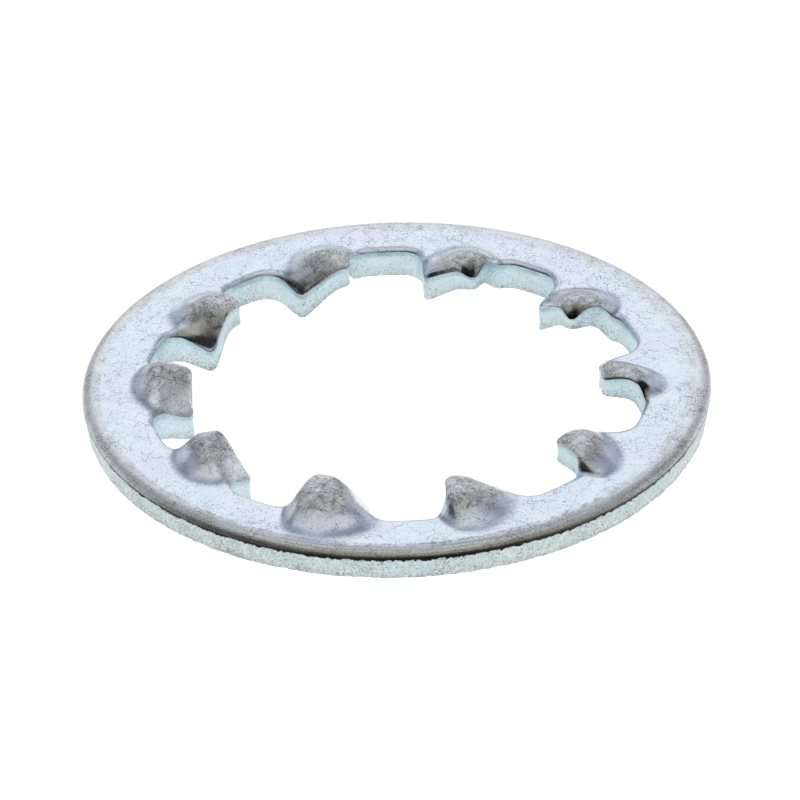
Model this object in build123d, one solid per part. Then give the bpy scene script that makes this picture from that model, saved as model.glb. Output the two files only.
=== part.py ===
from build123d import *
from math import atan2, degrees, hypot, radians, sin, sqrt, tan
import os

# Internal-toothed lock washer, pressed in one stroke from spring-steel strip: a flat ring whose
# inner border is slotted into teeth. Each tooth is twisted about its own radial line, so that its
# clockwise side stands proud of the top face and its other side hangs below the bottom face.
# Millimetres. The origin is the centre of the hole in the plane of the ring's bottom face. +Z
# points out of the top face, the side on which the die rolls the edges over, and +X runs along
# the middle of a tooth.

# Ring
outer_diameter = 20.5
thickness = 1.0
outer_wall_draft = 0.09           # how far the torn outer wall runs inwards on its way down
outer_roll_width = 0.53           # the rolled outer edge: measured inwards from the rim
outer_roll_depth = 0.23           # and measured down from the top face

# Teeth and the slots between them
tooth_count = 10
tip_circle_diameter = 13.35       # circle through the tooth tips
root_circle_diameter = 16.46      # circle through the slot bottoms
slot_width = 2.45                 # the slots have parallel sides
slot_corner_share = 0.45          # corner radii, as shares of the tooth length
tip_corner_share = 0.193
edge_bevel_share = 0.084          # narrow bevel along the top of the teeth and slots, likewise

# The pressed pad: the part of the sheet, tooth and hump together, that leaves the flat
rim_land = 0.03                   # flat left between the pad's outer corners and the rolled edge
pad_overrun = 0.475               # how far the sheet is carried past the tooth tip
pad_width_share = 0.9             # of the tooth pitch, at the slot bottoms

# How far each face of the sheet is pressed up (clockwise side) and down (the other side)
top_rise = 0.65
top_drop = 0.63
bottom_rise = 0.79
bottom_drop = 0.21

# No two teeth leave the press alike. Counter-clockwise from the tooth on +X, each has its own
# share of the full rise, and its own extra fall of the corner that hangs, as a share of the
# thickness.
rise_shares = (0.93, 0.96, 0.86, 0.97, 0.98, 1.0, 1.0, 1.0, 0.97, 0.94)
sag_shares = (0.0, 0.0, -0.04, 0.12, 0.27, 0.27, 0.15, 0.15, 0.0, 0.0)

# Where it is pressed, as the middle and the width of smooth steps. Steps along the pad are
# shares of its length, 0 at the tip end and 1 at the hump's foot. Steps across it are shares of
# its half width, -1 at the clockwise border, 0 on the tooth's axis, 1 at the other border.
top_rise_along, top_rise_along_width = 0.65, 0.286
top_rise_start, top_rise_start_width = -0.609, 0.087
top_twist, top_twist_width = 0.12, 1.09
top_drop_along, top_drop_along_width = 0.328, 0.414
top_drop_start, top_drop_start_width = 0.391, 0.174
bottom_rise_along, bottom_rise_along_width = 0.567, 0.053
bottom_rise_start, bottom_rise_start_width = -0.676, 0.126
bottom_twist, bottom_twist_width = 0.10, 0.287
bottom_drop_along, bottom_drop_along_width = 0.435, 0.106
bottom_drop_start, bottom_drop_start_width = 0.18, 0.10
drop_end, drop_end_width = 0.804, 0.13

# Control points of the pad's faces, along and across
points_along = 20
points_across = 24

# Worked out from the sizes above
outer_radius = outer_diameter / 2
tip_radius = tip_circle_diameter / 2
root_radius = root_circle_diameter / 2
tooth_length = root_radius - tip_radius
slot_corner_radius = slot_corner_share * tooth_length
tip_corner_radius = tip_corner_share * tooth_length
edge_bevel = edge_bevel_share * tooth_length
pitch_angle = 360 / tooth_count
half_pitch = radians(pitch_angle / 2)
flat_radius = outer_radius - outer_roll_width
pad_half_width = pad_width_share * root_radius * sin(half_pitch)
pad_start = tip_radius - pad_overrun
pad_end = sqrt((flat_radius - rim_land)**2 - pad_half_width**2)
beyond_outer = outer_radius + thickness     # a radius clear of the whole ring
cut_height = 3 * thickness                  # taller than any pressed form


def smooth_step(value, middle, width):
    """0 before the step, 1 after it, and t*t*(3 - 2t) across it."""
    t = min(max((value - middle) / width + 0.5, 0.0), 1.0)
    return t * t * (3 - 2 * t)


def top_press(along, across, rise_share, sag):
    """Height that the top face gains at a place on the pad."""
    rise = 1 - smooth_step(along, top_rise_along, top_rise_along_width)
    rise *= smooth_step(across, top_rise_start, top_rise_start_width)
    rise *= 1 - smooth_step(across, top_twist, top_twist_width)
    drop = 1 - smooth_step(along, top_drop_along, top_drop_along_width)
    drop *= smooth_step(across, top_drop_start, top_drop_start_width)
    drop *= 1 - smooth_step(across, drop_end, drop_end_width)
    return top_rise * rise_share * rise - (top_drop + sag) * drop


def bottom_press(along, across, rise_share, sag):
    """Height that the bottom face gains at a place on the pad."""
    rise = 1 - smooth_step(along, bottom_rise_along, bottom_rise_along_width)
    rise *= smooth_step(across, bottom_rise_start, bottom_rise_start_width)
    rise *= 1 - smooth_step(across, bottom_twist, bottom_twist_width)
    drop = 1 - smooth_step(along, bottom_drop_along, bottom_drop_along_width)
    drop *= smooth_step(across, bottom_drop_start, bottom_drop_start_width)
    drop *= 1 - smooth_step(across, drop_end, drop_end_width)
    return bottom_rise * rise_share * rise - (bottom_drop + sag) * drop


def pad_face(level, press, rise_share, sag):
    """One face of the pad, a Bezier sheet. Its foot and its two long borders stay level."""
    net = []
    for i in range(points_along):
        along = i / (points_along - 1)
        x = pad_start + (pad_end - pad_start) * along
        row = []
        for j in range(points_across):
            across = 2 * j / (points_across - 1) - 1
            on_border = i == points_along - 1 or j in (0, points_across - 1)
            height = level if on_border else level + press(along, across, rise_share, sag)
            row.append(Vector(x, pad_half_width * across, height))
        net.append(row)
    return Face.make_bezier_surface(net)


def pad_solid(rise_share, sag):
    """The pad before the slots are cut: its two faces, closed by four flat sides."""
    top = pad_face(thickness, top_press, rise_share, sag)
    bottom = pad_face(0, bottom_press, rise_share, sag)
    sides = []
    for above in top.edges():
        below = bottom.edges().sort_by_distance(Vertex(*above.center()))[0]
        low_start, low_end = below @ 0, below @ 1
        sides.append(Face(Wire([
            above,
            Edge.make_line(above @ 1, low_end),
            below,
            Edge.make_line(low_start, above @ 0),
        ])))
    return Solid(Shell([top, bottom] + sides))


def slot_outline():
    """A slot seen from above, along +X: parallel sides and a bottom on the root circle."""
    bar = Rectangle(root_radius, slot_width, align=(Align.MIN, Align.CENTER))
    slot = bar & Circle(root_radius)
    return fillet(slot.vertices().sort_by(Axis.X)[-2:], slot_corner_radius)


def sector_outline():
    """One pitch of the ring seen from above, with its tooth along +X and half a slot each side."""
    edge = beyond_outer * tan(half_pitch)
    wedge = make_face(Polyline((0, 0), (beyond_outer, -edge), (beyond_outer, edge), close=True))
    outline = wedge - Circle(tip_radius)
    for side in (-1, 1):
        outline -= Rot(0, 0, side * pitch_angle / 2) * slot_outline()
    tips = [v for v in outline.vertices() if abs(hypot(v.X, v.Y) - tip_radius) < 0.001]
    return fillet(tips, tip_corner_radius)


def rim_section():
    """Half section of the flat ring. The outer roll is an arc that leaves the top face smoothly."""
    roll_radius = (outer_roll_width**2 + outer_roll_depth**2) / (2 * outer_roll_depth)
    roll_centre = (flat_radius, thickness - roll_radius)
    rim_angle = degrees(atan2(roll_radius - outer_roll_depth, outer_roll_width))
    rim = (outer_radius, thickness - outer_roll_depth)
    wall_foot = (outer_radius - outer_wall_draft, 0)
    return make_face([
        Line((pad_start, 0), wall_foot),
        Line(wall_foot, rim),
        CenterArc(roll_centre, roll_radius, rim_angle, 90 - rim_angle),
        Line((flat_radius, thickness), (pad_start, thickness)),
        Line((pad_start, thickness), (pad_start, 0)),
    ])


def inner_top_edges(body):
    """Top edges of the tooth's and slots' walls, which stand upright inside the ring."""
    edges = []
    for wall in body.faces():
        middle = wall.center()
        upright = abs(wall.normal_at().Z) < 0.001
        inside = hypot(middle.X, middle.Y) < (root_radius + pad_end) / 2
        on_cut = abs(abs(atan2(middle.Y, middle.X)) - half_pitch) < 0.001
        if upright and inside and not on_cut:
            edges.append(wall.edges().sort_by(Axis.Z)[-1])
    return edges


def sector_solid(rise_share, sag):
    """One tooth with its share of the ring."""
    outline = sector_outline()
    pad_plan = Rectangle(pad_end - pad_start, 2 * pad_half_width)
    flat_plan = outline - Pos((pad_end + pad_start) / 2, 0) * pad_plan
    ring = revolve(Plane.XZ * rim_section(), axis=Axis.Z)
    flat = extrude(flat_plan, amount=cut_height, both=True) & ring
    tooth = extrude(outline, amount=cut_height, both=True) & pad_solid(rise_share, sag)
    body = flat.fuse(tooth, glue=True).solid()
    return body.chamfer(edge_bevel, None, inner_top_edges(body))


def washer():
    """A sector for each tooth, turned to its place, and all of them fused into one ring."""
    sectors = []
    for k in range(tooth_count):
        own = k % len(rise_shares)
        sector = sector_solid(rise_shares[own], sag_shares[own] * thickness)
        sectors.append(Rot(0, 0, k * pitch_angle) * sector)
    return sectors[0].fuse(*sectors[1:], glue=True)


os.makedirs("parts", exist_ok=True)
export_step(washer(), "parts/washer.step")
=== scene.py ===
# %% [markdown]
# # An internal tooth lock washer
#
# One ring, stamped from spring steel and zinc plated. Ten teeth inside it are twisted, so that one
# side of each stands up and the other hangs down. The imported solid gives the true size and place
# of everything. This script makes the surface that is seen: the same ring with its rolled and torn
# edges, the humps that the twist draws out of the flat, and the bright plating.

# %% Load the frame
import math
import bpy
import numpy as np
from mathutils import Matrix, Vector


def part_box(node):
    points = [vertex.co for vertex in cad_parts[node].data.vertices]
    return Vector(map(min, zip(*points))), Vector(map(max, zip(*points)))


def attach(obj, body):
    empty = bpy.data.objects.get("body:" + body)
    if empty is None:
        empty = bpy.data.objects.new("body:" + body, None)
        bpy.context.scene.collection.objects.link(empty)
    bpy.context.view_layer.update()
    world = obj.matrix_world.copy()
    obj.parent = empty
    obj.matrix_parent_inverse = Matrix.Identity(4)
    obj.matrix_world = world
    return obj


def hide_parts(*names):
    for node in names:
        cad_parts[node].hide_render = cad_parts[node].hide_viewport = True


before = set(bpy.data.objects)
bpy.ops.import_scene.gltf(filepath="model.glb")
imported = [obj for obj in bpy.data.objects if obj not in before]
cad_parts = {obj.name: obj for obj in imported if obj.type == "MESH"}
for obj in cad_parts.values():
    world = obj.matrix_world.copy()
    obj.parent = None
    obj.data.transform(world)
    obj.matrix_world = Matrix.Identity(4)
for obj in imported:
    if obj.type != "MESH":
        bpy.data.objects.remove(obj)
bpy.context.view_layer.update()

low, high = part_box("washer")
print("washer box in mm:", [round(v * 1000, 3) for v in (*low, *high)])

# %% [markdown]
# ## Sizes
#
# Lengths are in millimetres while the shape is worked out, because a washer is small, and turn
# into metres when the mesh is made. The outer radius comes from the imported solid. The others are
# the solid's own driving sizes.

# %% Sizes of the ring and its teeth
MM = 0.001
OUTER_RADIUS = high[0] / MM
THICKNESS = 1.0
TEETH = 10
TIP_RADIUS = 6.675
ROOT_RADIUS = 8.23
SLOT_WIDTH = 2.45
SLOT_CORNER = 0.7
TIP_CORNER = 0.3
ROLL_WIDTH = 0.53
ROLL_DEPTH = 0.23
WALL_DRAFT = 0.09
FLAT_RADIUS = OUTER_RADIUS - ROLL_WIDTH
HALF_PITCH = math.pi / TEETH
print("one pitch is", math.degrees(2 * HALF_PITCH), "degrees")

# %% [markdown]
# ## The plan of one half tooth
#
# Seen from above, the inner border of half a pitch is a short arc at the tip, a small corner, a
# straight flank, a wider corner and the slot's bottom. A tooth is the same on both sides, so half
# of it is enough. The flank is parallel to the middle of the slot, half a slot width away.

# %% Inner border of half a pitch
COLUMNS_HALF = 39


def arc(centre, radius, start, end, count=120):
    """Points centre + radius * (cos a, sin a), with a going evenly from start to end."""
    angle = np.linspace(start, end, count)
    return centre + radius * np.stack([np.cos(angle), np.sin(angle)], axis=1)


def half_border():
    """Even points along the border, from the middle of the tooth tip to the middle of the slot."""
    along = np.array([math.cos(HALF_PITCH), math.sin(HALF_PITCH)])
    across = np.array([-along[1], along[0]])
    tip_side = SLOT_WIDTH / 2 + TIP_CORNER
    tip_reach = math.sqrt((TIP_RADIUS + TIP_CORNER)**2 - tip_side**2)
    tip_centre = tip_reach * along - tip_side * across
    root_side = SLOT_WIDTH / 2 - SLOT_CORNER
    root_reach = math.sqrt((ROOT_RADIUS - SLOT_CORNER)**2 - root_side**2)
    root_centre = root_reach * along - root_side * across
    tip_turn = math.atan2(tip_centre[1], tip_centre[0])
    root_turn = math.atan2(root_centre[1], root_centre[0])
    flank_turn = HALF_PITCH + math.pi / 2
    points = np.vstack([
        arc(np.zeros(2), TIP_RADIUS, 0, tip_turn),
        arc(tip_centre, TIP_CORNER, tip_turn + math.pi, flank_turn),
        arc(root_centre, SLOT_CORNER, HALF_PITCH - math.pi / 2, root_turn),
        arc(np.zeros(2), ROOT_RADIUS, root_turn, HALF_PITCH),
    ])
    steps = np.hypot(*np.diff(points, axis=0).T)
    points = points[np.r_[True, steps > 1e-9]]
    length = np.r_[0, np.cumsum(np.hypot(*np.diff(points, axis=0).T))]
    even = np.linspace(0, length[-1], COLUMNS_HALF + 1)
    return np.stack([np.interp(even, length, points[:, i]) for i in (0, 1)], axis=1)


border = half_border()
print("border points:", len(border), "from", border[0].round(3), "to", border[-1].round(3))

# %% [markdown]
# ## A grid that fits the border
#
# The top of a tooth needs rows that follow the border, because the pressed edge follows it, and
# rows that are circles further out. The first rows are plain offsets of the border. The rest start
# as straight blends and are relaxed: each point moves to where the grid lines around it bend
# least (Winslow's equation, which never folds a grid over itself). Modelling the top by hand with
# loops of quads would do as well, but would have to be done again for any new size.

# %% Relaxed plan grid
BAND_WIDTH = 0.2
BAND_ROWS = 12
RELAXED_ROWS = 44
RELAX_STEPS = 1500


def mirror_columns(rows):
    """Adds a mirrored column before the first and after the last, across their own radial lines."""
    turn = 2 * HALF_PITCH
    across_slot = np.array([[math.cos(turn), math.sin(turn)], [math.sin(turn), -math.cos(turn)]])
    return np.concatenate([rows[:, 1:2] * [1, -1], rows, rows[:, -2:-1] @ across_slot], axis=1)


def offset_rows():
    """Border + distance * outward normal, for the rows of the pressed edge."""
    ghost = mirror_columns(border[None])[0]
    tangent = ghost[2:] - ghost[:-2]
    tangent /= np.hypot(*tangent.T)[:, None]
    normal = np.stack([tangent[:, 1], -tangent[:, 0]], axis=1)
    distance = BAND_WIDTH * np.linspace(0, 1, BAND_ROWS + 1)**1.2
    return border + distance[:, None, None] * normal


def relaxed_rows(first):
    """Rows from the band to the flat's edge, relaxed until they lie smoothly."""
    angle = np.linspace(0, HALF_PITCH, COLUMNS_HALF + 1)
    last = FLAT_RADIUS * np.stack([np.cos(angle), np.sin(angle)], axis=1)
    share = np.linspace(0, 1, RELAXED_ROWS + 1)[:, None, None]
    rows = first * (1 - share) + last * share
    for step in range(RELAX_STEPS):
        g = mirror_columns(rows)
        along = (g[1:-1, 2:] - g[1:-1, :-2]) / 2
        out = (g[2:, 1:-1] - g[:-2, 1:-1]) / 2
        mixed = (g[2:, 2:] - g[2:, :-2] - g[:-2, 2:] + g[:-2, :-2]) / 4
        a = (out**2).sum(axis=2, keepdims=True)
        b = (along * out).sum(axis=2, keepdims=True)
        c = (along**2).sum(axis=2, keepdims=True)
        around = a * (g[1:-1, 2:] + g[1:-1, :-2]) + c * (g[2:, 1:-1] + g[:-2, 1:-1])
        rows[1:-1] += 0.9 * ((around - 2 * b * mixed) / (2 * (a + c)) - rows[1:-1])
    return rows


band = offset_rows()
half_plan = np.concatenate([band[:-1], relaxed_rows(band[-1])])
sector_plan = np.concatenate([half_plan[:, :0:-1] * [1, -1], half_plan[:, :-1]], axis=1)
PLAN_ROWS, SECTOR_COLUMNS = sector_plan.shape[:2]
print("plan grid of one pitch:", PLAN_ROWS, "rows by", SECTOR_COLUMNS, "columns")

# %% [markdown]
# ## All ten sectors
#
# The sector's plan is turned to each tooth in turn. From here on the arrays hold the whole ring:
# rows run outwards from the inner border, and columns run round it. Each point also keeps its
# place on its own tooth: u along the tooth's radial line and s across it, counter-clockwise.

# %% Turn the plan round the ring
turns = np.arange(TEETH) * 2 * HALF_PITCH
COLUMNS = TEETH * SECTOR_COLUMNS


def turned(points):
    """Copies of the sector's points, one turned to each tooth, joined into the whole ring."""
    x, y = points[:, None, :, 0], points[:, None, :, 1]
    c, s = np.cos(turns)[None, :, None], np.sin(turns)[None, :, None]
    ring = np.stack([x * c - y * s, x * s + y * c], axis=3)
    return ring.reshape(len(points), COLUMNS, 2)


plan = turned(sector_plan)
u = np.tile(sector_plan[..., 0], (1, TEETH))
s = np.tile(sector_plan[..., 1], (1, TEETH))
from_border = np.vstack([
    np.zeros(COLUMNS),
    np.cumsum(np.hypot(*np.moveaxis(np.diff(plan, axis=0), 2, 0)), axis=0),
])
angle = np.arctan2(plan[-1, :, 1], plan[-1, :, 0])
print("columns round the ring:", COLUMNS)

# %% [markdown]
# ## Pressing the teeth
#
# A press twists each tooth: its clockwise side goes up, its other side down. The lifted side
# draws a hump out of the ring behind it, with a rounded foot. So the height at a point depends on
# how far inside the foot's curve it lies, and on which side of the tooth it is. The solid has one
# form for all ten; here each tooth has its own, because no two came out of the press alike.

# %% Each tooth's own twist
# One row for each tooth, going round from +X: how far it is lifted, and how far its other corner
# is lowered on top and underneath; where its hump's foot lies (a parabola that reaches out to a
# radius at one s, and falls back on both sides) and how long the climb from it is; where the hump
# ends on the clockwise side and how wide that end is; where s starts and ends the slope across
# the tip; how far the painted shade in the crease fades in the middle of the foot; how glossy the
# slope is; and how much painted highlight lightens it.
TWIST = np.array([
    # lift  top  under  reach  at s  round climb   side width  start   end  gap gloss pale
    [0.46, 0.12, 0.16, 9.10, -0.90, 0.60, 1.6, -1.52, 0.36, -0.30, 0.90, 0.2, 0.7, 0.0],
    [0.48, 0.15, 0.16, 9.15, -0.50, 0.50, 1.7, -1.44, 0.40, -0.35, 0.85, 0.2, 0.8, 0.0],
    [0.43, 0.05, 0.06, 9.15, -0.30, 0.50, 1.7, -1.36, 0.50, -0.30, 0.85, 0.9, 0.7, 0.0],
    [0.50, 0.27, 0.28, 9.40, -0.40, 0.50, 1.8, -1.50, 0.60, -0.40, 0.90, 1.0, 0.3, 0.7],
    [0.51, 0.55, 0.40, 9.30, -0.20, 0.40, 1.8, -1.60, 0.70, -0.05, 0.86, 1.0, 1.0, 0.0],
    [0.52, 0.57, 0.40, 8.95, -0.20, 0.25, 1.2, -1.60, 0.60, -0.90, 0.95, 0.0, 0.0, 1.0],
    [0.57, 0.47, 0.31, 9.20, 0.00, 0.35, 1.6, -1.43, 0.70, -0.48, 0.84, 0.1, 0.1, 0.9],
    [0.56, 0.42, 0.31, 10.1, -0.20, 0.20, 2.3, -1.25, 0.70, -0.10, 0.85, 0.9, 0.1, 0.3],
    [0.54, 0.34, 0.20, 9.80, -0.50, 0.40, 2.1, -1.45, 0.60, -0.35, 0.84, 0.7, 0.1, 0.5],
    [0.47, 0.16, 0.16, 9.40, -0.80, 0.50, 1.8, -1.44, 0.24, -0.20, 1.05, 0.3, 0.6, 0.2],
])
(lift, down_top, down_under, reach, reach_s, foot_round, climb, side, side_width,
 slope_start, slope_end, foot_gap, gloss, pale) = np.repeat(TWIST, SECTOR_COLUMNS, axis=0).T


def smooth_step(value, middle, width):
    """0 before the step, 1 after it, and t*t*(3 - 2t) across it."""
    t = np.clip((value - middle) / width + 0.5, 0, 1)
    return t * t * (3 - 2 * t)


def soft_ramp(value, start, end, rounding=0.25):
    """0 before start, 1 after end and straight between, with both bends rounded by parabolas."""
    t = (value - start) / (end - start)
    bend = np.clip(t + rounding, 0, 2 * rounding)**2 / (4 * rounding) + np.maximum(t - rounding, 0)
    over = np.clip(t - 1 + rounding, 0, 2 * rounding)**2 / (4 * rounding)
    return bend - over - np.maximum(t - 1 - rounding, 0)


# %% Lift, slope and fall of a tooth
ROOT_STEP = ROOT_RADIUS - TIP_RADIUS
outwards = (u - TIP_RADIUS) / ROOT_STEP


def raised(inset):
    """How far the sheet is lifted, 0 to 1: a soft rise from the foot's curve inwards."""
    foot = reach - foot_round * (s - reach_s)**2
    beside = smooth_step(s, side + inset, side_width)
    return beside * smooth_step(foot - inset - u, climb / 2, climb)**1.5


def slope(shift):
    """0 on the lifted side of a tooth, 1 on the lowered side. It widens into the ring."""
    return soft_ramp(s, slope_start + shift + 0.1 * outwards, slope_end + shift + 0.9 * outwards)


def hanging(length):
    """1 at the lowered corner of a tooth, fading out along its flank."""
    return (1 - smooth_step(u, TIP_RADIUS + length / 2, length)) * (1 - smooth_step(s, 2.0, 0.6))


print("lifted:", round(100 * float((raised(0) > 0).mean())), "% of the grid's points")

# %% Dents, and one flank without a rolled edge
# In some crests the punch has dragged a corner down: tooth, u, s, radius and depth of each dent.
DENTS = [
    (1, 6.72, -0.85, 0.38, 0.30),
    (2, 6.80, -0.80, 0.35, 0.24),
    (0, 6.75, -0.80, 0.30, 0.08),
]
tooth = np.repeat(np.arange(TEETH), SECTOR_COLUMNS)


def away_from(number, place_u, place_s, size):
    """(distance / size) squared from a place on one tooth, and endless on all other teeth."""
    away = ((u - place_u)**2 + (s - place_s)**2) / size**2
    return np.where(tooth == number, away, np.inf)


deepest = max(depth for *_, depth in DENTS)
dented = np.zeros(u.shape)
in_dent = np.zeros(u.shape)
for number, dent_u, dent_s, radius, depth in DENTS:
    away = away_from(number, dent_u, dent_s, radius)
    dented += depth * np.exp(-away)
    in_dent += depth / deepest * np.exp(-2 * away)

# The lowered flank of this tooth was cut after it was bent.
SHARP_TOOTH = 5
sharp = (tooth == SHARP_TOOTH) * smooth_step(s, 0.5, 0.6) * (1 - smooth_step(u, 7.9, 0.5))
print("dents:", len(DENTS), "of at most", round(float(dented.max()), 2), "mm")

# %% Height of both faces
# The underside is pushed up further than the top, from a little further in, because the sheet
# thins where it bends. Its lowered corner hangs over a slightly greater length.
UNDER_LIFT = 0.16
UNDER_INSET = 0.1
UNDER_SHIFT = -0.05
HANG_TOP = 1.5
HANG_UNDER = 1.7
top_press = lift * raised(0) * (1 - slope(0)) - down_top * hanging(HANG_TOP) * slope(0) - dented
lifted_under = (lift + UNDER_LIFT) * raised(UNDER_INSET) * (1 - slope(UNDER_SHIFT))
bottom_press = lifted_under - down_under * hanging(HANG_UNDER) * slope(UNDER_SHIFT)
print("highest rise", top_press.max().round(2), "mm; lowest", bottom_press.min().round(2), "mm")

# %% [markdown]
# ## Noise
#
# Torn metal and worn edges need irregular, repeatable bumps. Lattice noise gives each corner of a
# cube grid a fixed random value, worked out from its place, and blends between the eight corners.

# %% Lattice noise in numpy
def corner_value(cell, seed):
    """A fixed value between -1 and 1 for each whole-numbered cell corner."""
    mixed = np.sin(cell @ np.array([127.1, 311.7, 74.7]) + seed * 53.3) * 43758.5453
    return 2 * (mixed - np.floor(mixed)) - 1


def noise(points, size, seed):
    """Smooth noise between -1 and 1 whose bumps are about size across."""
    scaled = points / size
    cell = np.floor(scaled)
    t = scaled - cell
    t = t * t * (3 - 2 * t)
    total = np.zeros(points.shape[:-1])
    for corner in np.ndindex(2, 2, 2):
        corner = np.array(corner)
        weight = np.prod(np.where(corner, t, 1 - t), axis=-1)
        total += weight * corner_value(cell + corner, seed)
    return total


# %% [markdown]
# ## The section, row by row
#
# The whole skin is one grid that closes on itself both ways: round the ring, and round the
# section. The section goes from the inner border over the top, down the outer wall, back along
# the underside and up the inner wall. A punch drags the sheet's top edge down before it shears,
# so the top edges are rolled, and the wall below them is first shiny and then torn.

# %% Top face with its rolled inner edge
INNER_ROLL_WIDTH = 0.30
INNER_ROLL_DEPTH = 0.09
TIP_NEARNESS = 0.45


def roll(distance, width, depth, roundness):
    """The drop of a rolled edge: a parabola that turns steep at its end, later if less round."""
    t = np.clip(1 - distance / width, 0, 1)
    return depth * (0.75 * t**2 + 0.25 * t**12 + 0.35 * roundness * (t**5 - t**2))


at_tip = np.exp(-((u - TIP_RADIUS) / TIP_NEARNESS)**2)
inner_roll_width = INNER_ROLL_WIDTH * (1 + 0.5 * at_tip)
inner_roll_depth = INNER_ROLL_DEPTH * (1 + 0.8 * at_tip) * (1 - 0.95 * sharp)
top_z = THICKNESS + top_press - roll(
    from_border, inner_roll_width, inner_roll_depth, at_tip)
top_rows = np.dstack([plan, top_z])
print("top rows:", top_rows.shape[0], "crest at", top_z.max().round(3), "mm")

# %% Rolled outer edge and torn outer wall
ROLL_ROWS = 12
WALL_ROWS = 14
TEAR_DEPTH = 0.05
CHIP_DEPTH = 0.02


def ring_rows(radius, height):
    """Rows of circles, one for each radius and height."""
    flat = np.stack([np.cos(angle), np.sin(angle)], axis=1)
    return np.dstack([radius[:, None, None] * flat, np.repeat(height[:, None], COLUMNS, axis=1)])


def torn_share(rows, coarse, fine, seed):
    """How deep a wall is torn, 0 to 1: one half, with coarse and fine bumps added to it."""
    return 0.5 + 0.3 * noise(rows, coarse, seed) + 0.2 * noise(rows, fine, seed + 1)


roll_angle = np.linspace(0, math.pi / 2, ROLL_ROWS + 1)[1:]
roll_rows = ring_rows(
    FLAT_RADIUS + ROLL_WIDTH * np.sin(roll_angle),
    THICKNESS - ROLL_DEPTH * (1 - np.cos(roll_angle)))
wall_share = np.linspace(0, 1, WALL_ROWS + 1)[1:]
wall_rows = ring_rows(
    OUTER_RADIUS - WALL_DRAFT * wall_share,
    (THICKNESS - ROLL_DEPTH) * (1 - wall_share))
tear = torn_share(wall_rows, coarse=0.5, fine=0.22, seed=1)
chipped = np.maximum(noise(wall_rows, size=0.10, seed=5), 0) * wall_share[:, None]**8
wall_rows[..., 2] += CHIP_DEPTH * chipped
wall_rows[..., :2] *= 1 - ((TEAR_DEPTH * tear + CHIP_DEPTH * chipped) / OUTER_RADIUS)[..., None]
print("outer wall:", ROLL_ROWS, "rows on the roll and", WALL_ROWS, "rows below it")

# %% Underside and inner wall
INNER_WALL_ROWS = 16
bottom_rows = np.dstack([plan, bottom_press])[::-2]
inner_share = np.linspace(0, 1, INNER_WALL_ROWS + 2)[1:-1, None, None]
inner_rows = bottom_rows[-1] * (1 - inner_share) + top_rows[0] * inner_share
into_sheet = plan[1] - plan[0]
into_sheet /= np.hypot(*into_sheet.T)[:, None]
tear = torn_share(inner_rows, coarse=0.4, fine=0.2, seed=3)
bulge = TEAR_DEPTH * np.sin(math.pi * inner_share[..., 0])
inner_rows[..., :2] += (bulge * tear)[..., None] * into_sheet
print("rows:", [len(r) for r in (top_rows, roll_rows, wall_rows, bottom_rows, inner_rows)])

# %% [markdown]
# ## From rows to a mesh
#
# Each face joins a point to its neighbour round the ring and to the next row. Both ways wrap, so
# the skin is closed and has no seam.

# %% Build the mesh
def closed_grid(name, rows):
    """A mesh object from a grid of points that closes on itself in both directions."""
    row_count, column_count = rows.shape[:2]
    index = np.arange(row_count * column_count).reshape(row_count, column_count)
    right = np.roll(index, -1, axis=1)
    quads = np.stack([index, np.roll(index, -1, axis=0), np.roll(right, -1, axis=0), right], axis=2)
    quads = quads.reshape(-1, 4)
    mesh = bpy.data.meshes.new(name)
    mesh.vertices.add(index.size)
    mesh.vertices.foreach_set("co", (rows.reshape(-1, 3) * MM).ravel())
    mesh.loops.add(quads.size)
    mesh.loops.foreach_set("vertex_index", quads.ravel())
    mesh.polygons.add(len(quads))
    mesh.polygons.foreach_set("loop_start", np.arange(0, quads.size, 4))
    mesh.update(calc_edges=True)
    mesh.validate()
    piece = bpy.data.objects.new(name, mesh)
    bpy.context.scene.collection.objects.link(piece)
    return piece


skin_rows = np.concatenate([top_rows, roll_rows, wall_rows, bottom_rows, inner_rows])
washer = closed_grid("washer_skin", skin_rows)
washer.data.polygons.foreach_set("use_smooth", np.ones(len(washer.data.polygons), dtype=bool))
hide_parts("washer")
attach(washer, "root")
print("skin:", len(washer.data.polygons), "quads")

# %% [markdown]
# ## Where the plating is worn, and where shade and highlights are painted
#
# The press rubs the humps and the rolled rim dull. Painted shade darkens the crease at a hump's
# foot, the cut edges and the dents, a painted shadow line ends the rim's roll where the tear
# begins, and painted highlights lighten the crest edges and some slopes. Painting these by hand
# would be quick, but each share below is worked out from the same sizes as the shape, so it stays
# in place. Each is stored on the mesh as a number from 0 to 1, for the materials to read.

# %% Store a share on the mesh
def rows_like(rows, values):
    """The values as an array with one number for each point of the rows."""
    return np.broadcast_to(values, rows.shape[:2])


def store(name, top=0.0, rim=0.0, wall=0.0, bottom=0.0, inner=0.0):
    """Stores a number on every point, given for the five bands of the skin in turn."""
    bands = zip((top_rows, roll_rows, wall_rows, bottom_rows, inner_rows),
                (top, rim, wall, bottom, inner))
    values = np.concatenate([rows_like(rows, values) for rows, values in bands])
    attribute = washer.data.attributes.new(name, "FLOAT", "POINT")
    attribute.data.foreach_set("value", np.clip(values, 0, 1).ravel())
    covered = round(100 * float((values > 0.5).mean()), 1)
    print(name, "is above a half on", covered, "% of the points")
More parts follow.
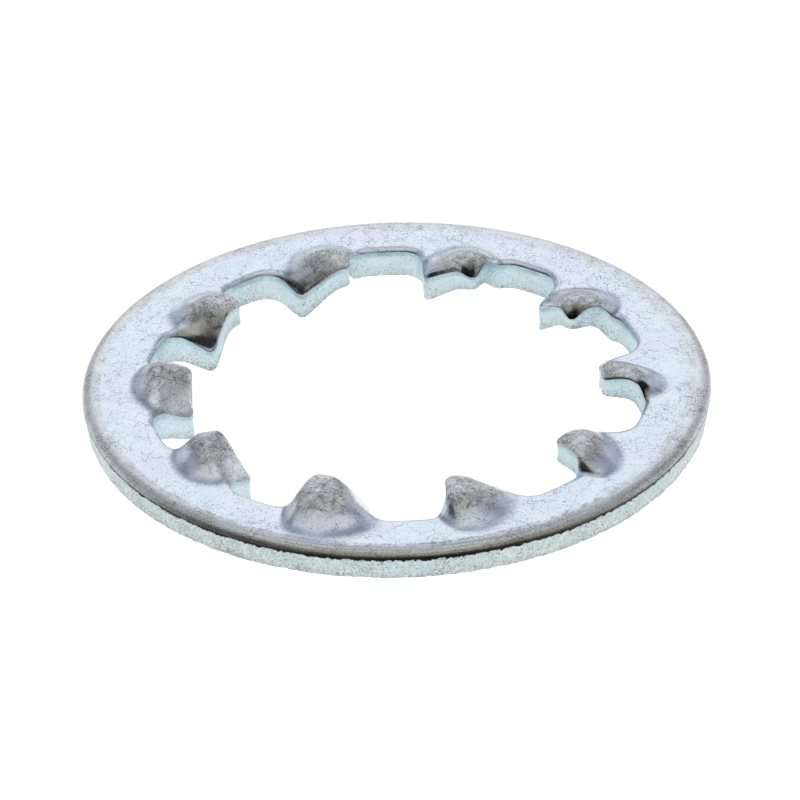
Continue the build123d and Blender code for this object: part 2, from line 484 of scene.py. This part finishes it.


# %% Worn humps, glossy slopes, and painted highlights on crest edges and slopes
HIGHLIGHT_WIDTH = 0.16
rise = raised(0) * (1 - slope(0))
on_slope = smooth_step(slope(0), 0.45, 0.8)
beside = smooth_step(s, side, side_width)
flank = 4 * beside * (1 - beside) * smooth_step(raised(0), 0.1, 0.1) * gloss
flank = np.maximum(flank, in_dent)
hump_worn = smooth_step(raised(0), 0.58, 0.5) * (1 - 0.9 * np.maximum(on_slope, flank))
# Painted highlight: a pale rim along the lifted crest edges, and paler slopes where the lowered
# side would show a bright reflection.
edge_highlight = np.exp(-(from_border / HIGHLIGHT_WIDTH)**2) * smooth_step(rise, 0.4, 0.4)
slope_highlight = pale * on_slope * smooth_step(raised(0), 0.2, 0.4)
glossy_slope = gloss * on_slope * smooth_step(raised(0), 0.3, 0.3)
store("worn", top=hump_worn, bottom=0.2)
store("painted_highlight", top=np.maximum(edge_highlight, slope_highlight))
store("gloss", top=np.maximum(glossy_slope, flank))

# %% Painted shade in the crease at each hump's foot
# It is faint on one tooth, open in the middle of most feet, and fades towards the clockwise side
# of the teeth at the back.
FAINT_CREASE_SHADE_TOOTH = 8
OPEN_SIDE_TEETH = (2, 3, 4)
CREASE_GAP = 0.55
crease_shade_strength = np.where(tooth == FAINT_CREASE_SHADE_TOOTH, 0.5, 1.0)
clockwise = np.isin(tooth, OPEN_SIDE_TEETH) * (1 - smooth_step(s, 0.2, 0.8))
middle_gap = np.exp(-((s - reach_s) / CREASE_GAP)**2)
open_foot = 1 - foot_gap * np.maximum(middle_gap, clockwise)
crease_shade = crease_shade_strength * smooth_step(rise, 0.03, 0.05)
crease_shade = crease_shade * (1 - smooth_step(rise, 0.15, 0.14)) * open_foot
store("crease", top=crease_shade)

# %% The rolled rim
# Its wear is wide at the back right and narrow at the front left. The streaks in it are clear at
# the front only.
WIDE_RIM_ANGLE = math.radians(30)
from_rim = FLAT_RADIUS - np.hypot(plan[..., 0], plan[..., 1])
towards_front = 0.5 - 0.5 * np.sin(angle)
back_right = 0.5 + 0.5 * np.cos(angle - WIDE_RIM_ANGLE)
rim_width = 0.1 + 0.5 * back_right**2
rim_top = 0.5 * (1 - smooth_step(from_rim, 0.5 * rim_width, rim_width))
rim_share = 0.5 + 0.5 * smooth_step(roll_angle, 0.5, 0.6)[:, None]
rim_colour = 0.15 + 0.85 * towards_front**5
store("rim", top=rim_top, rim=rim_share)
store("rim_tone", top=rim_colour, rim=rim_colour)

# %% Painted shade: a black line along the cut edges
# It has gaps all round, apart from the lifted side of one tooth, where it is wider and whole.
SHADED_EDGE_TOOTH = 0
CUT_SHADE_WIDTH = 0.022
WIDER_BY = 0.02
plan3 = np.dstack([plan, np.zeros(u.shape)])
cut_gaps = smooth_step(noise(plan3, size=0.5, seed=6), -0.2, 0.6)
shaded_edge = (tooth == SHADED_EDGE_TOOTH) * (1 - smooth_step(s, -0.8, 0.2))
cut_width = CUT_SHADE_WIDTH + WIDER_BY * shaded_edge
cut_edge_shade = (0.65 + 0.25 * shaded_edge) * (1 - sharp) * np.exp(-(from_border / cut_width)**4)
cut_edge_shade = cut_edge_shade * np.maximum(cut_gaps, shaded_edge)
# Painted shadow where the rim's roll ends, strongest at the front.
rim_shadow = smooth_step(roll_angle[:, None] + 0.17 * towards_front**4, 1.42, 0.22)
rim_shadow = rim_shadow * (0.3 + 0.7 * towards_front)

# Painted shade in the dents and at one tooth's foot: tooth, u, s and how far it reaches.
DENT_SHADES = [
    (1, 6.76, -0.86, 0.26),
    (2, 6.84, -0.62, 0.28),
    (0, 7.95, -1.35, 0.22),
]
ragged_edge = 0.12 * noise(plan3, size=0.12, seed=8)
dent_shade = np.zeros(u.shape)
for number, shade_u, shade_s, shade_reach in DENT_SHADES:
    blot = np.exp(-away_from(number, shade_u, shade_s, shade_reach)) + ragged_edge
    dent_shade = np.maximum(dent_shade, 0.97 * smooth_step(blot, 0.45, 0.45))
store("painted_shade_line", top=np.maximum(cut_edge_shade, dent_shade), rim=rim_shadow)

# %% Places across the section
# The streaks need the way along the section of the rim, the torn walls need the way down them,
# and the painted shadow line under the roll needs to know where the outer wall faces the front.
store("section", top=0.5 - 0.5 * from_rim, rim=0.5 + 0.5 * roll_angle[:, None] * ROLL_WIDTH)
store("depth", wall=wall_share[:, None], bottom=1.0, inner=1 - inner_share[..., 0])
store("outside", rim=towards_front, wall=0.25 + 0.75 * towards_front)

# %% [markdown]
# ## Marks in the zinc
#
# Bright zinc is a metal with a faint blue cast. The same small marks lie on the faces and on the
# torn walls: cloudy patches, dark specks and hairline cracks. A picture of real zinc could be
# laid over the washer, but would stretch at the twisted teeth. Noise worked out from the object's
# own coordinates, in millimetres, does not, and as node groups both metals can share it.

# %% Node helpers
def add(tree, kind, inputs=None, **settings):
    """A new node. Each input is a number, a tuple or another node's output. Returns the outputs."""
    made = tree.nodes.new("ShaderNode" + kind)
    for key, value in settings.items():
        setattr(made, key, value)
    for key, value in (inputs or {}).items():
        if isinstance(value, bpy.types.NodeSocket):
            tree.links.new(value, made.inputs[key])
        else:
            made.inputs[key].default_value = value
    return made.outputs


def plain_sum(tree, first, second, operation="ADD"):
    """The result of one sum, free to leave the range from 0 to 1."""
    return add(tree, "Math", {0: first, 1: second}, operation=operation)[0]


def clamped_sum(tree, first, second, operation="ADD"):
    """The result of one sum, held between 0 and 1."""
    return add(tree, "Math", {0: first, 1: second}, operation=operation, use_clamp=True)[0]


def times(tree, first, second):
    """The product of two shares."""
    return clamped_sum(tree, first, second, "MULTIPLY")


def opposite(tree, share):
    """What a share leaves of 1."""
    return clamped_sum(tree, 1.0, share, "SUBTRACT")


# %% Ranges, mixes and places
def step_node(tree, value, start, end):
    """0 below start, 1 above end, and smooth between."""
    return add(tree, "MapRange", {"Value": value, "From Min": start, "From Max": end},
               interpolation_type="SMOOTHSTEP")["Result"]


def ranged(tree, value, low_end, high_end):
    """The value from 0 to 1 spread between two ends."""
    return add(tree, "MapRange", {"Value": value, "To Min": low_end, "To Max": high_end})["Result"]


def mix_node(tree, share, first, second, blend="MIX"):
    """Two colours mixed by a share."""
    return add(tree, "Mix", {"Factor": share, "A": first, "B": second},
               data_type="RGBA", blend_type=blend)["Result"]


def stored(tree, name):
    """A share that the mesh carries."""
    return add(tree, "Attribute", attribute_name=name)["Fac"]


def millimetres(tree, seed=(0, 0, 0), stretch=(1, 1, 1)):
    """The object's own coordinates in millimetres, moved by a seed so that no two marks agree."""
    place = add(tree, "TexCoord")["Object"]
    scale = tuple(side / MM for side in stretch)
    inputs = {0: place, 1: scale, 2: seed}
    return add(tree, "VectorMath", inputs, operation="MULTIPLY_ADD")["Vector"]


# %% Node groups for the small marks
def new_group(name, inputs, output="Share"):
    """An empty node group with number inputs and one number output."""
    group = bpy.data.node_groups.new(name, "ShaderNodeTree")
    for socket, value in inputs.items():
        made = group.interface.new_socket(socket, in_out="INPUT", socket_type="NodeSocketFloat")
        made.default_value = value
    group.interface.new_socket(output, in_out="OUTPUT", socket_type="NodeSocketFloat")
    return group, group.nodes.new("NodeGroupInput").outputs, group.nodes.new("NodeGroupOutput")


def clouds_group():
    """Soft patches: noise with a few octaves, spread to the full 0 to 1."""
    group, given, result = new_group("clouds", {"Per mm": 0.5, "Seed": 0.0})
    cloud = add(group, "TexNoise", {
        "Vector": millimetres(group, given["Seed"]), "Scale": given["Per mm"], "Detail": 3.0,
        "Roughness": 0.6})["Fac"]
    group.links.new(step_node(group, cloud, 0.3, 0.7), result.inputs[0])
    return group


def specks_group():
    """Small dark specks, more of them as Amount goes up. They thin out between cloudy patches."""
    group, given, result = new_group("specks", {"Per mm": 14.0, "Seed": 0.0, "Amount": 0.3})
    place = millimetres(group, given["Seed"])
    fine = add(group, "TexNoise", {
        "Vector": place, "Scale": given["Per mm"], "Detail": 1.0})["Fac"]
    patch = add(group, "TexNoise", {"Vector": place, "Scale": 0.9, "Detail": 2.0})["Fac"]
    drop = plain_sum(group, given["Amount"], patch, "MULTIPLY")
    level = plain_sum(group, 0.80, drop, "SUBTRACT")
    over = plain_sum(group, fine, level, "SUBTRACT")
    group.links.new(step_node(group, over, 0.0, 0.05), result.inputs[0])
    return group


def cracks_group():
    """Hairline cracks: the borders of wavy cells, broken up so that only some of each shows."""
    group, given, result = new_group(
        "cracks", {"Per mm": 1.4, "Seed": 0.0, "Amount": 0.5, "Width": 0.03})
    place = millimetres(group, given["Seed"])
    wander = add(group, "TexNoise", {"Vector": place, "Scale": 2.2, "Detail": 3.0})["Color"]
    moved = add(group, "VectorMath", {0: wander, 1: (0.9, 0.9, 0.9), 2: place},
                operation="MULTIPLY_ADD")["Vector"]
    border = add(group, "TexVoronoi", {"Vector": moved, "Scale": given["Per mm"]},
                 feature="DISTANCE_TO_EDGE")["Distance"]
    line = add(group, "MapRange", {
        "Value": border, "From Max": given["Width"], "To Min": 1.0, "To Max": 0.0})["Result"]
    broken = add(group, "TexNoise", {"Vector": place, "Scale": 1.3, "Detail": 2.0})["Fac"]
    shown = step_node(group, plain_sum(group, broken, given["Amount"]), 0.98, 1.1)
    group.links.new(times(group, line, shown), result.inputs[0])
    return group


clouds, specks, cracks = clouds_group(), specks_group(), cracks_group()
print("node groups:", [group.name for group in (clouds, specks, cracks)])

# %% Place a group in a material
def cloudy(tree, per_mm, seed):
    """Soft patches, about per_mm of them along each millimetre."""
    return add(tree, "Group", {"Per mm": per_mm, "Seed": seed}, node_tree=clouds)[0]


def speckled(tree, per_mm, seed, amount):
    """Small specks, more of them as the amount goes up."""
    inputs = {"Per mm": per_mm, "Seed": seed, "Amount": amount}
    return add(tree, "Group", inputs, node_tree=specks)[0]


def cracked(tree, per_mm, seed, amount, width):
    """Hairline cracks, longer as the amount goes up."""
    inputs = {"Per mm": per_mm, "Seed": seed, "Amount": amount, "Width": width}
    return add(tree, "Group", inputs, node_tree=cracks)[0]


# %% [markdown]
# ## Plated faces
#
# The top and the underside are what the plating bath left: blue-white, a little cloudy, and worn
# grey where the press and other washers have rubbed it. One metal with mixed colours serves
# better than several materials side by side, because wear on a real washer has no sharp border.
# Each colour comes first by itself, and the last function puts them together.

# %% Base metal and the colour of the plating
PLATING_BLUE = (0.78, 0.79, 0.88, 1)
PLATING_GREEN = (0.76, 0.85, 0.87, 1)
PLATING_HAZE = (0.94, 0.95, 0.93, 1)
WHITE = (1.0, 1.0, 1.0, 1)
BLACK = (0.01, 0.01, 0.01, 1)


def metal(name):
    """A new material with its node tree and its shader."""
    material = bpy.data.materials.new(name)
    material.use_nodes = True
    shader = material.node_tree.nodes["Principled BSDF"]
    shader.inputs["Metallic"].default_value = 1
    return material, material.node_tree, shader


def clean_plating(tree, patches, haze, grain):
    """Blue with green patches, paler in the haze and whiter in the grain."""
    clean = mix_node(tree, patches, PLATING_BLUE, PLATING_GREEN)
    clean = mix_node(tree, times(tree, haze, 0.45), clean, PLATING_HAZE)
    return mix_node(tree, times(tree, grain, 0.3), clean, WHITE)


# %% Colour of the worn humps
WORN_DARK = (0.44, 0.43, 0.41, 1)
WORN_PALE = (0.98, 0.96, 0.92, 1)
WORN_HAZE = (0.92, 0.92, 0.88, 1)
WORN_YELLOW = (0.78, 0.82, 0.62, 1)


def worn_plating(tree, patches, haze, grain):
    """Grey that varies with the grain, hazy in places and slightly yellow in the patches."""
    worn = mix_node(tree, grain, WORN_DARK, WORN_PALE)
    worn = mix_node(tree, times(tree, haze, 0.45), worn, WORN_HAZE)
    return mix_node(tree, times(tree, patches, 0.2), worn, WORN_YELLOW)


# %% Colour of the rolled rim
RIM_PLAIN = (0.86, 0.85, 0.82, 1)
RIM_DARK_ABOVE = (0.36, 0.36, 0.37, 1)
RIM_DARK_BELOW = (0.60, 0.58, 0.50, 1)
RIM_PALE_ABOVE = (0.80, 0.80, 0.79, 1)
RIM_PALE_BELOW = (1.0, 1.0, 0.94, 1)


def ring_streaks(tree, per_mm, seed):
    """Streaks that run round the ring: noise drawn out along it, fine across the section."""
    place = add(tree, "SeparateXYZ", {0: millimetres(tree, stretch=(0.22, 0.22, 0))})
    across = add(tree, "Math", {0: stored(tree, "section"), 1: 2 * per_mm, 2: seed},
                 operation="MULTIPLY_ADD")[0]
    vector = add(tree, "CombineXYZ", {0: place[0], 1: place[1], 2: across})[0]
    streak = add(tree, "TexNoise", {
        "Vector": vector, "Scale": 2.0, "Detail": 3.0, "Roughness": 0.65})["Fac"]
    return step_node(tree, streak, 0.36, 0.64)


def worn_rim(tree):
    """Dark and pale streaks, both warmer on the roll's lower part, plain away from the front."""
    streaks = ring_streaks(tree, per_mm=9.0, seed=5.7)
    below = step_node(tree, stored(tree, "section"), 0.5, 0.72)
    dark = mix_node(tree, below, RIM_DARK_ABOVE, RIM_DARK_BELOW)
    pale_streak = mix_node(tree, below, RIM_PALE_ABOVE, RIM_PALE_BELOW)
    streaked = mix_node(tree, streaks, dark, pale_streak)
    return mix_node(tree, stored(tree, "rim_tone"), RIM_PLAIN, streaked)


# %% Specks and cracks of the plated faces
def face_marks(tree, rubbed, rim, glossy):
    """Fine specks, coarse specks, long cracks and a dense net on worn metal. Gloss hides them."""
    amount = clamped_sum(tree, ranged(tree, rubbed, 0.27, 0.46), times(tree, rim, 0.19))
    fine = speckled(tree, per_mm=22.0, seed=31.7, amount=amount)
    coarse = speckled(tree, per_mm=11.0, seed=47.9, amount=0.17)
    long_cracks = cracked(tree, per_mm=1.6, seed=53.3, amount=0.56, width=0.03)
    dense_cracks = cracked(tree, per_mm=2.6, seed=61.1, amount=0.64, width=0.05)
    dense_cracks = times(tree, dense_cracks, ranged(tree, rubbed, 0.15, 1.1))
    marks = clamped_sum(tree, times(tree, fine, 0.8), coarse)
    marks = clamped_sum(tree, marks, times(tree, long_cracks, 0.65))
    marks = clamped_sum(tree, marks, dense_cracks)
    return times(tree, marks, ranged(tree, glossy, 0.85, 0.3))


# %% The plated faces put together
HIGHLIGHT_COLOUR = (1.0, 0.98, 0.93, 1)
CREASE_SHADE_BLUE = (0.25, 0.28, 0.38, 1)
MARK_GREY = (0.12, 0.13, 0.15, 1)
MARK_BROWN = (0.26, 0.21, 0.14, 1)
PLATING_ROUGHNESS = 0.21
WORN_ROUGHNESS = 0.40
FACE_BUMP = 0.01


def plated_face():
    """Blue-white plating, worn grey on humps and rim, with specks and cracks, painted shade in the
    creases and along the cut edges, and painted highlights on crest edges and slopes.
    """
    material, tree, shader = metal("zinc_face")
    rim, glossy = stored(tree, "rim"), stored(tree, "gloss")
    patches = cloudy(tree, per_mm=0.5, seed=11.3)
    haze = cloudy(tree, per_mm=1.3, seed=17.9)
    grain = cloudy(tree, per_mm=3.5, seed=23.1)
    rubbed = plain_sum(tree, stored(tree, "worn"), ranged(tree, grain, -0.25, 0.25))
    rubbed = step_node(tree, rubbed, 0.2, 0.8)
    rim_edge = plain_sum(tree, rim, ranged(tree, grain, -0.2, 0.2))
    rim_edge = step_node(tree, rim_edge, 0.25, 0.6)
    crease_shade = times(tree, stored(tree, "crease"), ranged(tree, haze, 0.70, 0.35))
    marks = face_marks(tree, rubbed, rim, glossy)

    colour = mix_node(tree, rubbed, clean_plating(tree, patches, haze, grain),
                      worn_plating(tree, patches, haze, grain))
    # Painted highlight on the crest edges and the pale slopes.
    colour = mix_node(tree, stored(tree, "painted_highlight"), colour, HIGHLIGHT_COLOUR)
    colour = mix_node(tree, rim_edge, colour, worn_rim(tree))
    # Painted shade in the crease at each hump's foot.
    colour = mix_node(tree, crease_shade, colour, CREASE_SHADE_BLUE)
    colour = mix_node(tree, marks, colour, mix_node(tree, rim, MARK_GREY, MARK_BROWN))
    # Painted shade: black along the cut edges, in the dents and where the rim's roll ends.
    colour = mix_node(tree, stored(tree, "painted_shade_line"), colour, BLACK)
    tree.links.new(colour, shader.inputs["Base Color"])

    rough = ranged(tree, rubbed, PLATING_ROUGHNESS, WORN_ROUGHNESS)
    rough = plain_sum(tree, rough, ranged(tree, glossy, 0.0, -0.08))
    rough = clamped_sum(tree, rough, times(tree, rim, 0.1))
    rough = clamped_sum(tree, rough, times(tree, grain, 0.06))
    tree.links.new(rough, shader.inputs["Roughness"])
    height = clamped_sum(tree, times(tree, grain, 0.5), marks, "SUBTRACT")
    bump = add(tree, "Bump", {
        "Height": height, "Strength": 0.4, "Distance": FACE_BUMP * MM})["Normal"]
    tree.links.new(bump, shader.inputs["Normal"])
    print("zinc_face:", len(tree.nodes), "nodes")
    return material


washer.data.materials.append(plated_face())

# %% [markdown]
# ## Torn walls
#
# Below the roll a punched edge is first burnished by the die and then torn. The tear is pale and
# faintly green, with upright streaks and grain, and a ragged black line of painted shadow runs
# along its top, under the roll. It could be one more mix in the metal above, but it has so little
# in common with the plated face that a second material is easier to read.

# %% Colour of the torn walls
TORN_DARK = (0.58, 0.71, 0.73, 1)
TORN_PALE = (0.86, 0.93, 0.90, 1)
TORN_BLUE = (0.66, 0.78, 0.86, 1)
TORN_INSIDE = (0.69, 0.84, 0.91, 1)
TORN_GRAIN = (0.42, 0.44, 0.40, 1)
BURNISHED = (0.36, 0.53, 0.58, 1)
LOW_EDGE_BROWN = (0.50, 0.46, 0.38, 1)


def torn_colour(tree, streaks, patches, grain, depth, outer):
    """Pale streaks, blue patches, grain outside, burnished metal above inside, a brown low edge."""
    colour = mix_node(tree, streaks, TORN_DARK, TORN_PALE)
    colour = mix_node(tree, times(tree, patches, 0.35), colour, TORN_BLUE)
    colour = mix_node(tree, ranged(tree, outer, 0.5, 0.0), colour, TORN_INSIDE)
    grainy = times(tree, grain, ranged(tree, outer, 0.05, 0.38))
    colour = mix_node(tree, grainy, colour, TORN_GRAIN)
    not_burnished = clamped_sum(tree, step_node(tree, depth, 0.1, 0.3), outer)
    burnished = times(tree, opposite(tree, not_burnished), ranged(tree, patches, 0.25, 1.0))
    colour = mix_node(tree, burnished, colour, BURNISHED)
    low_edge = times(tree, step_node(tree, depth, 0.7, 1.0), grain)
    return mix_node(tree, times(tree, low_edge, 0.7), colour, LOW_EDGE_BROWN)


# %% The torn walls put together
TORN_MARK = (0.24, 0.23, 0.20, 1)
DARK_STREAK_ROUGHNESS = 0.42
PALE_STREAK_ROUGHNESS = 0.6
TORN_BUMP = 0.02


def roll_shadow_line(tree, upright, depth, outside, outer):
    """Painted shadow: 1 just under the roll of the outer wall, down to a depth that wanders with
    the streaks.
    """
    ragged = add(tree, "MapRange", {
        "Value": upright, "From Min": 0.35, "From Max": 0.65, "To Min": -0.03, "To Max": 0.13})
    below = plain_sum(tree, depth, times(tree, ragged["Result"], outside), "SUBTRACT")
    return times(tree, outer, opposite(tree, step_node(tree, below, 0.03, 0.06)))


def torn_wall():
    """Pale, faintly green torn metal: upright streaks, grains, and a painted shadow line on top."""
    material, tree, shader = metal("zinc_torn")
    depth, outside = stored(tree, "depth"), stored(tree, "outside")
    outer = step_node(tree, outside, 0.0, 0.2)
    upright = add(tree, "TexNoise", {
        "Vector": millimetres(tree, stretch=(1, 1, 0.4)), "Scale": 6.0, "Detail": 4.0,
        "Roughness": 0.7})["Fac"]
    streaks = step_node(tree, upright, 0.35, 0.65)
    patches = cloudy(tree, per_mm=0.9, seed=71.3)
    grain = cloudy(tree, per_mm=9.0, seed=79.9)
    more_below = times(tree, step_node(tree, depth, 0.3, 1.0), 0.08)
    amount = clamped_sum(tree, ranged(tree, outer, 0.28, 0.38), more_below)
    fine = speckled(tree, per_mm=22.0, seed=83.3, amount=amount)
    coarse = speckled(tree, per_mm=12.0, seed=97.1, amount=ranged(tree, outer, 0.20, 0.27))
    marks = clamped_sum(tree, fine, coarse)

    colour = torn_colour(tree, streaks, patches, grain, depth, outer)
    colour = mix_node(tree, times(tree, marks, 0.75), colour, TORN_MARK)
    # Painted shadow under the roll's lip.
    colour = mix_node(tree, roll_shadow_line(tree, upright, depth, outside, outer), colour, BLACK)
    tree.links.new(colour, shader.inputs["Base Color"])
    rough = ranged(tree, streaks, DARK_STREAK_ROUGHNESS, PALE_STREAK_ROUGHNESS)
    tree.links.new(rough, shader.inputs["Roughness"])
    height = clamped_sum(tree, grain, marks, "SUBTRACT")
    bump = add(tree, "Bump", {
        "Height": height, "Strength": 0.6, "Distance": TORN_BUMP * MM})["Normal"]
    tree.links.new(bump, shader.inputs["Normal"])
    print("zinc_torn:", len(tree.nodes), "nodes")
    return material


washer.data.materials.append(torn_wall())

# %% Give each face its metal
# Faces are numbered row by row, in the order in which the rows were joined.
row_of_face = np.arange(len(skin_rows)).repeat(COLUMNS)
first_wall = len(top_rows) + len(roll_rows) - 1
first_inner = len(skin_rows) - len(inner_rows) - 1
torn = (row_of_face >= first_wall) & (row_of_face < first_wall + WALL_ROWS)
torn |= row_of_face >= first_inner
washer.data.polygons.foreach_set("material_index", torn.astype(int))
print("torn faces:", int(torn.sum()), "of", len(torn))

# %% [markdown]
# ## The studio
#
# A metal shows what is around it, so the surroundings matter as much as the metal. Lamps and
# cards round the washer would do, but a world that gives each direction its colour is easier to
# place: it is the same however small the object is, and what the camera itself sees stays white.

# %% The camera's view
CAMERA_AZIMUTH = math.radians(-92)
CAMERA_ELEVATION = math.radians(32.232)
CAMERA_ROLL = math.radians(1.4796)
CAMERA_DISTANCE = 0.270146
PIXELS_PER_MM = 30.6677
IMAGE_SIZE = 800
IMAGE_MIDDLE = IMAGE_SIZE / 2
RING_CENTRE_ACROSS = 396.775
RING_CENTRE_DOWN = 393.581
print("camera", round(CAMERA_DISTANCE / MM), "mm away")

# %% Studio colours
# The first list goes from the horizon in front of the camera (0 degrees) over the top to the
# horizon behind it (180). The second is multiplied in, by how far a direction points sideways.
STUDIO = [
    (0, (0.03, 0.03, 0.03)),
    (2, (0.03, 0.03, 0.03)),
    (5, (0.72, 0.76, 0.82)),
    (20, (0.82, 0.88, 0.97)),
    (40, (0.86, 0.92, 1.00)),
    (50, (0.20, 0.22, 0.30)),
    (60, (0.66, 0.72, 0.79)),
    (74, (0.60, 0.64, 0.68)),
    (90, (0.42, 0.41, 0.37)),
    (118, (0.38, 0.37, 0.33)),
    (130, (0.02, 0.02, 0.02)),
    (151, (0.02, 0.02, 0.02)),
    (160, (0.68, 0.72, 0.78)),
    (180, (0.74, 0.78, 0.84)),
]
SIDES = [
    (0.0, (1.0, 1.0, 1.0)),
    (0.24, (1.0, 1.0, 1.0)),
    (0.34, (0.50, 0.51, 0.56)),
    (0.50, (0.52, 0.52, 0.52)),
    (0.72, (0.84, 0.86, 0.90)),
    (1.0, (0.80, 0.83, 0.88)),
]
STUDIO_STRENGTH = 1.1
print("studio colours:", len(STUDIO), "over the top and", len(SIDES), "to the sides")

# %% Colour every direction
world = bpy.data.worlds.new("studio")
bpy.context.scene.world = world
world.use_nodes = True
sky = world.node_tree


def ramp_node(tree, value, stops):
    """The colours of (position, colour) stops, eased from each to the next."""
    colours = add(tree, "ValToRGB", {"Fac": value})["Color"]
    ramp = colours.node.color_ramp
    ramp.interpolation = "EASE"
    while len(ramp.elements) < len(stops):
        ramp.elements.new(0.5)
    for element, (position, colour) in zip(ramp.elements, stops):
        element.position = position
    for element, (position, colour) in zip(ramp.elements, stops):
        element.color = (*colour, 1)
    return colours


facing = add(sky, "VectorRotate", {
    "Vector": add(sky, "TexCoord")["Generated"], "Angle": -(CAMERA_AZIMUTH + math.pi / 2)},
    rotation_type="Z_AXIS")["Vector"]
parts = add(sky, "SeparateXYZ", {"Vector": facing})
climb_angle = plain_sum(sky, parts["Z"], parts["Y"], "ARCTAN2")
overhead = ramp_node(sky, plain_sum(sky, climb_angle, math.pi, "DIVIDE"),
                     [(degrees / 180, colour) for degrees, colour in STUDIO])
sideways = ramp_node(sky, add(sky, "Math", {0: parts["X"]}, operation="ABSOLUTE")[0], SIDES)
studio_colour = mix_node(sky, 1.0, overhead, sideways, blend="MULTIPLY")
print("world nodes so far:", len(sky.nodes))

# %% A black flag, and white for the camera
# One steep slope at the back left is black because it shows a black card, high on the left.
FLAG_PLACE = (-0.69, -0.14, 0.71)
FLAG_ANGLE = 21
FLAG_SOFTNESS = 7
towards_flag = add(sky, "VectorMath", {0: facing, 1: Vector(FLAG_PLACE).normalized()},
                   operation="DOT_PRODUCT")["Value"]
flag = step_node(sky, towards_flag, math.cos(math.radians(FLAG_ANGLE + FLAG_SOFTNESS)),
                 math.cos(math.radians(FLAG_ANGLE - FLAG_SOFTNESS)))
studio_colour = mix_node(sky, flag, studio_colour, BLACK)
studio_colour = mix_node(sky, add(sky, "LightPath")["Is Camera Ray"], studio_colour, WHITE)
background = sky.nodes["Background"]
background.inputs["Strength"].default_value = STUDIO_STRENGTH
sky.links.new(studio_colour, background.inputs["Color"])
print("world nodes in all:", len(sky.nodes))

# %% [markdown]
# ## The floor
#
# The washer lies on white paper. A plain square under its lowest point catches the soft shadow.
# It gives off a little light of its own, so that it is as white as the background and has no
# visible edge.

# %% Floor
FLOOR_SIZE = 0.6
FLOOR_PAINT = (0.85, 0.85, 0.85, 1)
FLOOR_GLOW = 0.75
floor_z = float(skin_rows[..., 2].min()) * MM
half = FLOOR_SIZE / 2
floor_mesh = bpy.data.meshes.new("floor")
corners = [(x * half, y * half, floor_z) for x, y in ((-1, -1), (1, -1), (1, 1), (-1, 1))]
floor_mesh.from_pydata(corners, [], [(0, 1, 2, 3)])
floor = bpy.data.objects.new("floor", floor_mesh)
bpy.context.scene.collection.objects.link(floor)
floor_white = bpy.data.materials.new("floor_white")
floor_white.use_nodes = True
paint = floor_white.node_tree.nodes["Principled BSDF"]
paint.inputs["Base Color"].default_value = FLOOR_PAINT
paint.inputs["Roughness"].default_value = 1.0
paint.inputs["Specular IOR Level"].default_value = 0.0
paint.inputs["Emission Color"].default_value = WHITE
paint.inputs["Emission Strength"].default_value = FLOOR_GLOW
floor_mesh.materials.append(floor_white)
print("floor at", round(floor_z / MM, 3), "mm")

# %% [markdown]
# ## The camera
#
# It looks at the middle of the ring from the front, a third of the way up, with a slight roll.
# The rotation is built from three directions at right angles (right, up and outward) rather than
# by tracking a target, because the roll is then one more turn of right and up.

# %% Camera
middle = Vector((0, 0, THICKNESS / 2 * MM))
outward = Vector((
    math.cos(CAMERA_ELEVATION) * math.cos(CAMERA_AZIMUTH),
    math.cos(CAMERA_ELEVATION) * math.sin(CAMERA_AZIMUTH),
    math.sin(CAMERA_ELEVATION)))
right = Vector((-math.sin(CAMERA_AZIMUTH), math.cos(CAMERA_AZIMUTH), 0))
up = outward.cross(right)
rolled_right = math.cos(CAMERA_ROLL) * right - math.sin(CAMERA_ROLL) * up
rolled_up = math.sin(CAMERA_ROLL) * right + math.cos(CAMERA_ROLL) * up
place = Matrix((rolled_right, rolled_up, outward)).transposed().to_4x4()
place.translation = middle + CAMERA_DISTANCE * outward
lens = bpy.data.cameras.new("camera")
lens.sensor_width = 36
lens.lens = PIXELS_PER_MM * CAMERA_DISTANCE / MM / IMAGE_SIZE * lens.sensor_width
lens.shift_x = (IMAGE_MIDDLE - RING_CENTRE_ACROSS) / IMAGE_SIZE
lens.shift_y = (RING_CENTRE_DOWN - IMAGE_MIDDLE) / IMAGE_SIZE
lens.clip_start = 0.01
camera = bpy.data.objects.new("camera", lens)
bpy.context.scene.collection.objects.link(camera)
camera.matrix_world = place
bpy.context.scene.camera = camera
bpy.context.scene.view_settings.view_transform = "Standard"
print("focal length", round(lens.lens, 1), "mm")
